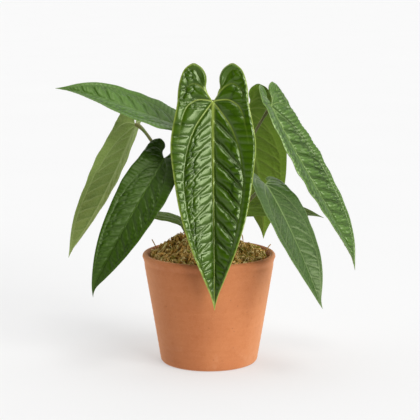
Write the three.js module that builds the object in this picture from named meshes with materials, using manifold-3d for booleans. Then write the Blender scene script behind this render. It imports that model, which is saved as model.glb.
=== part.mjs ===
// Potted Anthurium alfaroi: a clay pot, potting mix, moss, a short stem and nine stalked leaves.
// Millimetres, +Z up. The origin is where the pot's axis meets the surface that the pot stands on.
// The longest leaf hangs down the front, towards -Y. +X is the plant's right side as seen from there.

import * as THREE from 'three';
import { mergeVertices } from 'three/addons/utils/BufferGeometryUtils.js';
import Module from 'manifold-3d';

const wasm = await Module();
wasm.setup();

// Driving dimensions. GAP is left between pieces that touch.
const GAP = 0.3;
const POT = { rimRadius: 70, baseRadius: 51, height: 116, wall: 6, floor: 8, drainRadius: 7, segments: 40 };
const MIX = { top: 96, segments: 32 };
const MOSS = { edgeTop: 109.5, crown: 123, sideClearance: 1.2, rings: 7, sectors: 28, strands: 26, seed: 4107 };
const HEAP = { x: -28, y: 24, height: 8, spread: 18 };
const STEM = { radius: 9, foot: 62, top: 152, segments: 18 };
const BLADE = { thickness: 0.8, ribDepth: 1.5, ribDepthAtTip: 0.2 };

// Blade outline from the top of a basal lobe: [half-widths across, blade lengths along],
// with 0 along at the stalk and 1 at the tip. One list runs round the margin, the other round the sinus.
const MARGIN = [
  [0.46, -0.182], [0.57, -0.172], [0.68, -0.15], [0.76, -0.11], [0.81, -0.06], [0.835, 0], [0.875, 0.05],
  [0.96, 0.14], [1, 0.22], [0.97, 0.3], [0.87, 0.45], [0.74, 0.59], [0.55, 0.72], [0.33, 0.83],
  [0.12, 0.92], [0.035, 0.97], [0, 1],
];
const SINUS = [
  [0.46, -0.182], [0.35, -0.175], [0.24, -0.157], [0.165, -0.128], [0.15, -0.1], [0.165, -0.07],
  [0.13, -0.043], [0.06, -0.018], [0, 0],
];

// Each leaf: the midrib as a cubic curve (stalk end, two handles, tip), the way its upper face looks at the
// stalk and at the tip, its half-width, how full it stays towards the tip (1 as in MARGIN), and the fold of
// its two halves in degrees at the lobe's top, the stalk, mid-blade and tip (positive lifts the margin
// towards the upper face). Side A is on the right hand of someone who stands on the upper face and looks
// to the tip.
const LEAVES = [
  {
    name: 'front',
    midrib: [[4, -45, 279], [4, -57, 215], [5, -76, 140], [5.5, -88, 74]],
    faceAtStalk: [0, -1, 0.2],
    faceAtTip: [0, -1, 0.25],
    halfWidth: 43.5,
    fullness: 1,
    lobes: 1,
    foldA: [10, 12, 12, 30],
    foldB: [10, 12, 12, 30],
    curl: -8,
    veins: 16,
    columns: 6,
    quilting: 2.2,
    wave: 1.2,
    colour: '#3f7a26',
    stalk: { azimuth: -90, height: 146, handles: [[0, -10, 200], [3, -4, 262]], radius: 2.6 },
  },
  {
    name: 'left_high',
    midrib: [[-24, -13, 248.5], [-60, -22, 259], [-113, -32, 289], [-156, -28, 291]],
    faceAtStalk: [0, -0.32, 1],
    faceAtTip: [0, -0.65, 1],
    halfWidth: 30.5,
    fullness: 1,
    lobes: 0.85,
    foldA: [15, 15, 15, 30],
    foldB: [15, 15, 15, 30],
    curl: -12,
    veins: 14,
    columns: 5,
    quilting: 1.4,
    wave: 0.8,
    colour: '#5b8a4a',
    stalk: { azimuth: 170, height: 146, handles: [[-12, 0, 185], [-18, -4, 228]], radius: 2.1 },
  },
  {
    name: 'left_back',
    midrib: [[-79, 45, 246], [-93, 52, 212], [-119, 46, 152], [-153, 30, 105]],
    faceAtStalk: [-0.84, 0.54, 0.2],
    faceAtTip: [-0.84, 0.54, 0.2],
    halfWidth: 30.5,
    fullness: 1.35,
    lobes: 0.9,
    foldA: [20, 22, 22, 30],
    foldB: [20, 22, 22, 30],
    curl: -8,
    veins: 14,
    columns: 5,
    quilting: 1.2,
    wave: 0.8,
    colour: '#7f9a55',
    stalk: { azimuth: 135, height: 138, handles: [[-40, 18, 190], [-64, 36, 245]], radius: 1.9 },
  },
  {
    name: 'left_front',
    midrib: [[-46, -30, 219.5], [-53, -58, 208], [-91, -84, 150], [-120, -78, 87]],
    faceAtStalk: [-0.15, -0.5, 0.8],
    faceAtTip: [-0.08, -1, 0.15],
    halfWidth: 25,
    fullness: 1.15,
    lobes: 0.85,
    foldA: [15, 15, 15, 25],
    foldB: [15, 15, 15, 25],
    curl: -8,
    veins: 14,
    columns: 5,
    quilting: 1.4,
    wave: 1,
    colour: '#2f5f22',
    stalk: { azimuth: 220, height: 138, handles: [[-20, -12, 168], [-42, -22, 206]], radius: 2 },
  },
  {
    name: 'back',
    midrib: [[39, 35, 263], [46, 64, 225], [62, 90, 164], [61, 101, 110.5]],
    faceAtStalk: [0.15, 0.95, 0.3],
    faceAtTip: [0.15, 0.95, 0.3],
    halfWidth: 37,
    fullness: 1.1,
    lobes: 1.1,
    foldA: [8, 8, 8, 20],
    foldB: [8, 8, 8, 20],
    curl: -6,
    veins: 14,
    columns: 5,
    quilting: 1.2,
    wave: 0.8,
    colour: '#6f8c3f',
    stalk: { azimuth: 65, height: 144, handles: [[8, 18, 190], [22, 20, 246]], radius: 2 },
  },
  {
    name: 'right_high',
    midrib: [[64, -5, 271], [79, -12, 235], [132, -5, 158], [156, 0, 99]],
    faceAtStalk: [0.87, -0.5, 0.3],
    faceAtTip: [0.87, -0.5, 0.3],
    halfWidth: 31,
    fullness: 1.45,
    lobes: 0.65,
    foldA: [15, 15, 15, 25],
    foldB: [15, 15, 15, 25],
    curl: -6,
    veins: 15,
    columns: 5,
    quilting: 1.8,
    wave: 1.2,
    colour: '#567f45',
    stalk: { azimuth: 0, height: 146, handles: [[18, 2, 190], [44, -2, 240]], radius: 2.2 },
  },
  {
    name: 'right_front',
    midrib: [[57, -39, 194.5], [70, -66, 179], [98, -91, 123], [112, -92, 76]],
    faceAtStalk: [0.5, -0.35, 0.75],
    faceAtTip: [0.58, -0.8, 0.25],
    halfWidth: 30,
    fullness: 1,
    lobes: 0.5,
    foldA: [15, 15, 15, 25],
    foldB: [15, 15, 15, 25],
    curl: -14,
    veins: 14,
    columns: 5,
    quilting: 0.9,
    wave: 0.8,
    colour: '#4f7c46',
    stalk: { azimuth: -40, height: 136, handles: [[20, -14, 152], [40, -28, 174]], radius: 2 },
  },
  {
    name: 'left_low',
    midrib: [[-29.5, 2, 148], [-50, 5, 158], [-80, 12, 156], [-103, 15, 146]],
    faceAtStalk: [0, -0.05, 1],
    faceAtTip: [0, -0.05, 1],
    halfWidth: 17,
    fullness: 1.1,
    lobes: 0.8,
    foldA: [5, 5, 5, 10],
    foldB: [5, 5, 5, 10],
    curl: -16,
    veins: 10,
    columns: 4,
    quilting: 0.7,
    wave: 0.4,
    colour: '#3c5f30',
    stalk: { azimuth: 180, height: 130, handles: [[-17, 0, 128], [-27, 0, 137]], radius: 1.7 },
  },
  {
    name: 'right_low',
    midrib: [[30, 5, 159], [55, 8, 166], [95, 16, 160], [122, 20, 149]],
    faceAtStalk: [0, -0.3, 1],
    faceAtTip: [0, -0.32, 1],
    halfWidth: 19,
    fullness: 1.1,
    lobes: 0.8,
    foldA: [5, 5, 5, 10],
    foldB: [5, 5, 5, 10],
    curl: -16,
    veins: 10,
    columns: 4,
    quilting: 0.7,
    wave: 0.4,
    colour: '#33571f',
    stalk: { azimuth: 25, height: 134, handles: [[16, 5, 144], [22, 4, 156]], radius: 1.7 },
  },
];

// Shares across one half of a blade, from the midrib (0) to the margin (1)
const COLUMN_SHARES = {
  4: [0, 0.1, 0.42, 0.76, 1],
  5: [0, 0.08, 0.32, 0.58, 0.8, 1],
  6: [0, 0.07, 0.27, 0.5, 0.72, 0.87, 1],
};
// Share of a half's rows that start on the sinus, for lobes of the full size
const SINUS_ROWS = 0.19;
const VEIN_SLANT = 0.9;
const COLLECTIVE_VEIN = 0.78;

const vector = (point) => new THREE.Vector3(...point);

// A small seeded generator, so that the moss is the same each time
function seededRandom(seed) {
  let state = seed;
  return () => {
    state = (state + 0x6d2b79f5) | 0;
    let mixed = Math.imul(state ^ (state >>> 15), 1 | state);
    mixed = (mixed + Math.imul(mixed ^ (mixed >>> 7), 61 | mixed)) ^ mixed;
    return ((mixed ^ (mixed >>> 14)) >>> 0) / 4294967296;
  };
}

function indexedGeometry(positions, indices) {
  const geometry = new THREE.BufferGeometry();
  geometry.setAttribute('position', new THREE.BufferAttribute(new Float32Array(positions), 3));
  geometry.setIndex(indices);
  return geometry;
}

function toSolid(geometry) {
  return new wasm.Manifold(new wasm.Mesh({
    numProp: 3,
    vertProperties: new Float32Array(geometry.attributes.position.array),
    triVerts: new Uint32Array(geometry.index.array),
  }));
}

function fromSolid(solid) {
  const mesh = solid.getMesh();
  return indexedGeometry(mesh.vertProperties, Array.from(mesh.triVerts));
}

function largestBody(solid) {
  const bodies = solid.decompose();
  return bodies.reduce((best, body) => (body.volume() > best.volume() ? body : best));
}

// A closed solid of revolution about Z; the profile is [radius, height] pairs, going up the outside
function turned(profile, segments) {
  const geometry = new THREE.LatheGeometry(profile.map(([r, z]) => new THREE.Vector2(r, z)), segments);
  geometry.rotateX(Math.PI / 2);
  geometry.deleteAttribute('normal');
  geometry.deleteAttribute('uv');
  const merged = mergeVertices(geometry, 1e-4);
  return dropEmptyTriangles(merged);
}

function dropEmptyTriangles(geometry) {
  const source = geometry.index.array;
  const kept = [];
  for (let i = 0; i < source.length; i += 3) {
    const [a, b, c] = [source[i], source[i + 1], source[i + 2]];
    if (a !== b && b !== c && c !== a) kept.push(a, b, c);
  }
  geometry.setIndex(kept);
  return geometry;
}

// A closed round tube along a curve, with a radius that may vary along it
function tube(curve, radiusAt, steps, sides) {
  const frames = curve.computeFrenetFrames(steps, false);
  const positions = [];
  for (let i = 0; i <= steps; i += 1) {
    const centre = curve.getPointAt(i / steps);
    const radius = radiusAt(i / steps);
    for (let j = 0; j < sides; j += 1) {
      const angle = (2 * Math.PI * j) / sides;
      const point = centre.clone()
        .addScaledVector(frames.normals[i], radius * Math.cos(angle))
        .addScaledVector(frames.binormals[i], radius * Math.sin(angle));
      positions.push(...point.toArray());
    }
  }
  const first = (steps + 1) * sides;
  const last = first + 1;
  positions.push(...curve.getPointAt(0).toArray(), ...curve.getPointAt(1).toArray());
  const indices = [];
  for (let j = 0; j < sides; j += 1) {
    const next = (j + 1) % sides;
    for (let i = 0; i < steps; i += 1) {
      const near = i * sides;
      const far = near + sides;
      indices.push(near + j, near + next, far + next, near + j, far + next, far + j);
    }
    indices.push(first, next, j, last, steps * sides + j, steps * sides + next);
  }
  return indexedGeometry(positions, indices);
}

// The pot

const wallSlope = (POT.rimRadius - POT.baseRadius) / POT.height;
const outerRadiusAt = (z) => POT.baseRadius + wallSlope * z;
const innerRadiusAt = (z) => outerRadiusAt(z) - POT.wall;

function potGeometry() {
  const top = POT.height;
  const profile = [
    [POT.drainRadius, 0],
    [POT.baseRadius - 2.5, 0],
    [POT.baseRadius - 0.4, 0.8],
    [outerRadiusAt(3.2), 3.2],
    [outerRadiusAt(top - 11.5), top - 11.5],
    [outerRadiusAt(top - 9.5) - 0.5, top - 9.5],
    [outerRadiusAt(top - 7), top - 7],
    [POT.rimRadius, top - 3.6],
    [POT.rimRadius - 1.2, top - 0.9],
    [POT.rimRadius - 3.1, top],
    [POT.rimRadius - 5, top - 0.9],
    [innerRadiusAt(top - 4), top - 4],
    [innerRadiusAt(POT.floor + 3), POT.floor + 3],
    [innerRadiusAt(POT.floor) - 3, POT.floor],
    [POT.drainRadius, POT.floor],
    [POT.drainRadius, 0],
  ];
  return turned(profile, POT.segments);
}

// The potting mix fills the pot, with a plain hole that the stem stands in

function mixGeometry() {
  const bottom = POT.floor + GAP;
  const hole = STEM.radius + GAP;
  const holeFoot = STEM.foot - GAP;
  const profile = [
    [0, bottom],
    [innerRadiusAt(bottom) - 3 - GAP, bottom],
    [innerRadiusAt(bottom + 3) - GAP, bottom + 3],
    [innerRadiusAt(MIX.top) - GAP, MIX.top],
    [hole, MIX.top],
    [hole, holeFoot],
    [0, holeFoot],
  ];
  return turned(profile, MIX.segments);
}

// The moss: a low mound with a heap at the back left, and curled strands fused to it

function mossHeight(x, y) {
  const spread = Math.hypot(x, y) / innerRadiusAt(MOSS.edgeTop);
  const dome = MOSS.edgeTop + (MOSS.crown - MOSS.edgeTop) * (1 - spread * spread);
  const heap = HEAP.height * Math.exp(-((x - HEAP.x) ** 2 + (y - HEAP.y) ** 2) / HEAP.spread ** 2);
  const tufts = Math.sin(0.41 * x + 0.9) * Math.sin(0.37 * y) + 0.6 * Math.sin(0.83 * y + 0.61 * x);
  return dome + heap + tufts * Math.min(1, 4 * (1 - spread));
}

function moundGeometry() {
  const bottom = MIX.top + GAP;
  const inner = STEM.radius + GAP;
  const outerTop = innerRadiusAt(MOSS.edgeTop) - MOSS.sideClearance;
  const outerBottom = innerRadiusAt(bottom) - MOSS.sideClearance;
  const loop = MOSS.rings + 3;
  const positions = [];
  for (let sector = 0; sector < MOSS.sectors; sector += 1) {
    const angle = (2 * Math.PI * sector) / MOSS.sectors;
    const place = (radius, height) => {
      const x = radius * Math.cos(angle);
      const y = radius * Math.sin(angle);
      positions.push(x, y, height ?? mossHeight(x, y));
    };
    place(inner, bottom);
    for (let ring = 0; ring <= MOSS.rings; ring += 1) {
      place(inner + ((outerTop - inner) * ring) / MOSS.rings);
    }
    place(outerBottom, bottom);
  }
  const indices = [];
  for (let sector = 0; sector < MOSS.sectors; sector += 1) {
    const here = sector * loop;
    const next = ((sector + 1) % MOSS.sectors) * loop;
    for (let k = 0; k < loop; k += 1) {
      const on = (k + 1) % loop;
      indices.push(here + k, here + on, next + on, here + k, next + on, next + k);
    }
  }
  return indexedGeometry(positions, indices);
}

function strandGeometry(random) {
  const reach = 10 + 44 * Math.sqrt(random());
  const bearing = 2 * Math.PI * random();
  const heading = 2 * Math.PI * random();
  const span = 7 + 8 * random();
  const bend = (random() - 0.5) * 8;
  const lift = 1.2 + 3.2 * random();
  const start = [reach * Math.cos(bearing), reach * Math.sin(bearing)];
  const points = [-1.8, lift * 0.6, lift, -1.6].map((rise, k) => {
    const ahead = (k / 3 - 0.5) * span;
    const aside = bend * Math.sin((Math.PI * k) / 3);
    const x = start[0] + ahead * Math.cos(heading) - aside * Math.sin(heading);
    const y = start[1] + ahead * Math.sin(heading) + aside * Math.cos(heading);
    return new THREE.Vector3(x, y, mossHeight(x, y) + rise);
  });
  const thickness = 0.7 + 0.4 * random();
  return tube(new THREE.CatmullRomCurve3(points), () => thickness, 4, 3);
}

// Loose stalks of moss that stand up from it at its edges: where each starts and where its tip is
const SPRIGS = [
  [[-50, 2, 108], [-55, 0, 120], [-60, -2, 130]],
  [[54, 4, 108], [60, 3, 118], [65, 2, 124]],
  [[55, 0, 108], [58, -3, 117], [61, -6, 120]],
  [[36, 12, 114], [37, 13, 124], [35, 14, 132]],
];

function mossGeometry() {
  const random = seededRandom(MOSS.seed);
  const hole = STEM.radius + GAP;
  const bottom = MIX.top - 5;
  const top = MOSS.crown + 15;
  const stemHole = toSolid(turned([[0, bottom], [hole, bottom], [hole, top], [0, top]], STEM.segments));
  const pieces = [toSolid(moundGeometry())];
  for (let i = 0; i < MOSS.strands; i += 1) {
    pieces.push(toSolid(strandGeometry(random)));
  }
  for (const sprig of SPRIGS) {
    const curve = new THREE.QuadraticBezierCurve3(...sprig.map(vector));
    pieces.push(toSolid(tube(curve, (share) => 1 - 0.5 * share, 4, 3)));
  }
  const joined = wasm.Manifold.union(pieces).subtract(stemHole);
  return fromSolid(largestBody(joined));
}

// The stem: a short stout stock with a few leaf scars

function stemProfile(grow) {
  const r = STEM.radius + grow;
  return [
    [0, STEM.foot - grow],
    [r - 2, STEM.foot - grow],
    [r, STEM.foot + 3],
    [r, STEM.top - 14],
    [r - 0.5, STEM.top - 7],
    [r - 2, STEM.top - 2],
    [r - 5, STEM.top + grow],
    [0, STEM.top + grow],
  ];
}

const stemGeometry = (grow = 0) => turned(stemProfile(grow), STEM.segments);

// The blades

const linear = THREE.MathUtils.lerp;
const clamp = THREE.MathUtils.clamp;

// Fold in radians at a place along the blade: -1 is the lobe's top, 0 the stalk, 1 the tip
function foldAt(stations, place) {
  const [lobe, stalk, middle, tip] = stations;
  let degrees = linear(stalk, lobe, clamp(-place, 0, 1));
  if (place > 0) degrees = linear(stalk, middle, clamp(2 * place, 0, 1));
  if (place > 0.5) degrees = linear(middle, tip, clamp(2 * place - 1, 0, 1));
  return THREE.MathUtils.degToRad(degrees);
}

function bladeShape(leaf) {
  const midrib = new THREE.CubicBezierCurve3(...leaf.midrib.map(vector));
  const length = midrib.getLength();
  const scaled = ([across, along]) => new THREE.Vector2(
    across * leaf.halfWidth,
    length * (along < 0 ? along * leaf.lobes : along ** (1 / leaf.fullness)),
  );
  return {
    leaf,
    midrib,
    length,
    lobeLength: -MARGIN[0][1] * length * leaf.lobes,
    sinusRows: SINUS_ROWS * leaf.lobes,
    margin: new THREE.SplineCurve(MARGIN.map(scaled)),
    sinus: new THREE.SplineCurve(SINUS.map(scaled)),
  };
}

// The midrib's frame at a distance along it; past the stalk it carries on straight, for the lobes
function frameAt(shape, along) {
  const { leaf, midrib, length } = shape;
  const share = clamp(along / length, 0, 1);
  const origin = midrib.getPointAt(share);
  const forward = midrib.getTangentAt(share);
  const up = vector(leaf.faceAtStalk).lerp(vector(leaf.faceAtTip), share);
  up.addScaledVector(forward, -up.dot(forward)).normalize();
  const across = forward.clone().cross(up);
  origin.addScaledVector(forward, Math.min(along, 0));
  return { origin, across, up };
}

// A point of the blade's middle surface and its normal. x is across from the midrib, on side 1 or -1,
// y is along it, and rise is the relief's height.
function surfacePoint(shape, side, x, y, rise) {
  const { leaf, length, lobeLength } = shape;
  const { origin, across, up } = frameAt(shape, y);
  if (x === 0) return { point: origin.addScaledVector(up, rise), normal: up };
  const place = y < 0 ? y / lobeLength : y / length;
  const fold = foldAt(side > 0 ? leaf.foldA : leaf.foldB, place);
  const curl = THREE.MathUtils.degToRad(leaf.curl) / leaf.halfWidth;
  const angle = fold + curl * x;
  const outwards = (Math.sin(angle) - Math.sin(fold)) / curl;
  const upwards = (Math.cos(fold) - Math.cos(angle)) / curl;
  const normal = up.clone().multiplyScalar(Math.cos(angle)).addScaledVector(across, -side * Math.sin(angle));
  const point = origin.addScaledVector(across, side * outwards).addScaledVector(up, upwards);
  return { point: point.addScaledVector(normal, rise), normal };
}

// Where row q of a half starts on the sinus or the midrib and where it ends on the margin.
// Rows run beside the lateral veins: slanted to the tip on the blade, fanned at the stalk.
function rowEnds(shape, q) {
  const outer = shape.margin.getPointAt(q);
  if (q < shape.sinusRows) {
    return { inner: shape.sinus.getPointAt(q / shape.sinusRows), outer };
  }
  const along = Math.max(0, outer.y - VEIN_SLANT * outer.x);
  return { inner: new THREE.Vector2(0, along), outer };
}

// Height of the quilting between veins, of the sunken collective vein, and of the margin's wave
function relief(shape, side, q, v, width) {
  const { leaf } = shape;
  const fullness = clamp(width / (0.5 * leaf.halfWidth), 0, 1);
  const between = Math.abs(Math.sin(Math.PI * q * leaf.veins)) ** 0.7;
  const body = v < COLLECTIVE_VEIN ? Math.sin((Math.PI * v) / COLLECTIVE_VEIN) ** 0.6 : 0;
  const edge = v > COLLECTIVE_VEIN ? 0.35 : 0;
  const groove = Math.exp(-(((v - COLLECTIVE_VEIN) / 0.07) ** 2));
  const wave = leaf.wave * Math.sin(2 * Math.PI * (4.5 * q + (side > 0 ? 0 : 0.37))) * v ** 3;
  const quilting = leaf.quilting * ((between - 0.4) * (body + edge) - 0.35 * groove);
  return fullness * (quilting + wave);
}

function bladeGeometry(leaf, thickness) {
  const shape = bladeShape(leaf);
  const rows = 2 * leaf.veins;
  const shares = COLUMN_SHARES[leaf.columns];
  const upper = [];
  const lower = [];
  const known = new Map();

  function vertex(side, row, column) {
    const { inner, outer } = rowEnds(shape, row / rows);
    const v = shares[column];
    const width = outer.x - inner.x;
    const bow = 0.3 + 0.5 * clamp(1 - inner.y / leaf.halfWidth, 0, 1);
    const x = linear(inner.x, outer.x, v);
    const y = linear(inner.y, outer.y, v) - bow * width * v * (1 - v);
    const onMidrib = x < 1e-6;
    const key = [onMidrib ? 0 : side, x.toFixed(4), y.toFixed(4)].join(' ');
    if (!known.has(key)) {
      const rise = onMidrib ? 0 : relief(shape, side, row / rows, v, width);
      const { point, normal } = surfacePoint(shape, side, onMidrib ? 0 : x, y, rise);
      const rib = onMidrib ? linear(BLADE.ribDepth, BLADE.ribDepthAtTip, clamp(y / shape.length, 0, 1)) : 0;
      known.set(key, upper.length);
      upper.push(point.clone().addScaledVector(normal, thickness / 2));
      lower.push(point.clone().addScaledVector(normal, -thickness / 2 - rib));
    }
    return known.get(key);
  }

  const faces = [];
  const addFace = (a, b, c) => {
    if (a !== b && b !== c && c !== a) faces.push([a, b, c]);
  };
  for (const side of [1, -1]) {
    for (let row = 0; row < rows; row += 1) {
      for (let column = 0; column < shares.length - 1; column += 1) {
        const a = vertex(side, row, column);
        const b = vertex(side, row, column + 1);
        const c = vertex(side, row + 1, column + 1);
        const d = vertex(side, row + 1, column);
        if (side > 0) {
          addFace(a, b, c);
          addFace(a, c, d);
        } else {
          addFace(a, c, b);
          addFace(a, d, c);
        }
      }
    }
  }
  return thickened(upper, lower, faces);
}

// Two like-triangulated faces and the rim that closes them
function thickened(upper, lower, faces) {
  const count = upper.length;
  const positions = [...upper, ...lower].flatMap((point) => point.toArray());
  const edges = new Set();
  const indices = [];
  for (const [a, b, c] of faces) {
    indices.push(a, b, c, count + a, count + c, count + b);
    for (const [from, to] of [[a, b], [b, c], [c, a]]) {
      edges.add(`${from} ${to}`);
    }
  }
  for (const edge of edges) {
    const [from, to] = edge.split(' ').map(Number);
    if (!edges.has(`${to} ${from}`)) {
      indices.push(to, from, count + from, to, count + from, count + to);
    }
  }
  return indexedGeometry(positions, indices);
}

// The blade with the gap all round it; the shifted copy keeps the gap inside the sinus too
function bladeClearance(leaf) {
  const grown = toSolid(bladeGeometry(leaf, BLADE.thickness + 2 * GAP));
  const [junction, next] = leaf.midrib.map(vector);
  const backwards = junction.sub(next).setLength(2 * GAP);
  return grown.add(grown.translate(backwards.toArray()));
}

// The stalks: from the stem to the blade's sinus, thicker at the foot and at the joint under the blade

function stalkGeometry(leaf, stemCut) {
  const { azimuth, height, handles, radius } = leaf.stalk;
  const bearing = THREE.MathUtils.degToRad(azimuth);
  const inStem = STEM.radius - 3;
  const foot = new THREE.Vector3(inStem * Math.cos(bearing), inStem * Math.sin(bearing), height);
  const curve = new THREE.CubicBezierCurve3(foot, ...handles.map(vector), vector(leaf.midrib[0]));
  const radiusAt = (share) => {
    const flare = 0.45 * Math.exp(-((share / 0.1) ** 2));
    const joint = 0.3 * Math.exp(-(((share - 0.97) / 0.05) ** 2));
    return radius * (1 + flare + joint - 0.1 * share);
  };
  const stalk = toSolid(tube(curve, radiusAt, 10, 7));
  return fromSolid(largestBody(stalk.subtract(stemCut).subtract(bladeClearance(leaf))));
}

// The whole plant

const plant = new THREE.Group();

function addPiece(name, geometry, colour, roughness) {
  const material = new THREE.MeshStandardMaterial({ color: colour, roughness, metalness: 0 });
  const mesh = new THREE.Mesh(geometry, material);
  mesh.name = name;
  plant.add(mesh);
}

addPiece('pot', potGeometry(), '#c26f45', 0.85);
addPiece('potting_mix', mixGeometry(), '#3a2a1e', 0.95);
addPiece('moss', mossGeometry(), '#8d7a45', 0.95);
addPiece('stem', stemGeometry(), '#5d5a33', 0.8);

const stemCut = toSolid(stemGeometry(GAP));
for (const leaf of LEAVES) {
  addPiece(`leaf_${leaf.name}`, bladeGeometry(leaf, BLADE.thickness), leaf.colour, 0.4);
  addPiece(`stalk_${leaf.name}`, stalkGeometry(leaf, stemCut), '#4f5b2a', 0.6);
}

export default plant;
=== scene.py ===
"""Looks of a potted Anthurium alfaroi: quilted leaves, stalks, dry moss and a clay pot.

Lengths in this file are in millimetres until a mesh is made, which is in metres. +Z is up and the camera
looks along +Y. The blades have the outlines, midribs and folds of the solids that they stand for, except that
leaf left_front is a little wider here and lies a little lower near its base, and that the tips of four leaves
bend sideways.
"""

import math
from types import SimpleNamespace as Named

import bmesh
import bpy
import numpy as np
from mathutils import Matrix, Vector


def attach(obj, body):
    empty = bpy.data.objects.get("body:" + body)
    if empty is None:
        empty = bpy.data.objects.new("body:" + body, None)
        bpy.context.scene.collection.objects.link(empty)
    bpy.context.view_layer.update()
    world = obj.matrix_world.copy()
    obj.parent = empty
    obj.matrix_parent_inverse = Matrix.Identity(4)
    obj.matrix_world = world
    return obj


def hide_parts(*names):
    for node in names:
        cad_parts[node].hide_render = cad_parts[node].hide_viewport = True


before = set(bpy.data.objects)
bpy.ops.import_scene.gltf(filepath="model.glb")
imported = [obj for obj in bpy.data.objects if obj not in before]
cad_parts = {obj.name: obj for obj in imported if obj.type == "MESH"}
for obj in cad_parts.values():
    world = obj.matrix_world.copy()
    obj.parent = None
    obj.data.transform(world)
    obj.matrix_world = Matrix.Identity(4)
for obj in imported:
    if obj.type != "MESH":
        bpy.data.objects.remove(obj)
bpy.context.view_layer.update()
MM = 0.001

# Dimensions shared with the solids

POT = Named(rim=70.0, base=51.0, height=116.0, wall=6.0, floor=8.0, drain=7.0)
MOSS = Named(edge_top=109.5, crown=123.0, bottom=97.0, clearance=1.2)
HEAP = Named(x=-28.0, y=24.0, height=8.0, spread=18.0)
STEM = Named(radius=9.0, foot=62.0, top=152.0)

# Half a blade's outline in shares of its half-width and length: the margin from the lobe's inner end to the
# tip, and the edge of the sinus from the same end to the midrib
MARGIN = [
    (0.46, -0.182), (0.57, -0.172), (0.68, -0.15), (0.76, -0.11), (0.81, -0.06), (0.835, 0), (0.875, 0.05),
    (0.96, 0.14), (1, 0.22), (0.97, 0.3), (0.87, 0.45), (0.74, 0.59), (0.55, 0.72), (0.33, 0.83),
    (0.12, 0.92), (0.035, 0.97), (0, 1),
]
SINUS = [
    (0.46, -0.182), (0.35, -0.175), (0.24, -0.157), (0.165, -0.128), (0.15, -0.1), (0.165, -0.07),
    (0.13, -0.043), (0.06, -0.018), (0, 0),
]
BLADE_THICKNESS = 0.8
# A half's rows of vertices run from the midrib to the margin. This share of them starts on the sinus, for
# lobes of full length, and the others rise by this much for each millimetre across.
SINUS_ROWS = 0.19
ROW_SLANT = 0.9

# What a leaf has where its own entry says nothing else. face0 and face1 are where its upper side looks at the
# base and at the tip, fold and curl are in degrees, and drip is how far the tip bends sideways. quilt is the
# height of the fine relief, valley how far the midrib lies below the halves, wave the swing of the margin and
# rim the width of its pale edge. As shares of quilt, cushions, pillows, lateral and hump are the heights of
# the small cells, of the swellings between lateral veins, of those veins' grooves and of the strip outside
# the border vein, and border is that vein's depth. ridges is the number of rows of cells against the usual
# one. A pair is for the two halves, and its first value is for the half on the left of leaf front.
USUAL = dict(
    fullness=1, lobes=0.85, face1=None, fold=(15, 15, 15, 25), curl=-8, drip=0, wave=0.8, valley=0.8,
    quilt=0.5, cushions=1, pillows=1, ridges=1, lateral=0.8, hump=0.9, border=1, rim=0.65, rows=220,
    columns=40,
)
LOW_LEAF = dict(
    fullness=1.1, lobes=0.8, fold=(5, 5, 5, 10), curl=-16, wave=0.4, valley=0.4, tone="soft", rows=150,
    columns=28,
)
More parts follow.
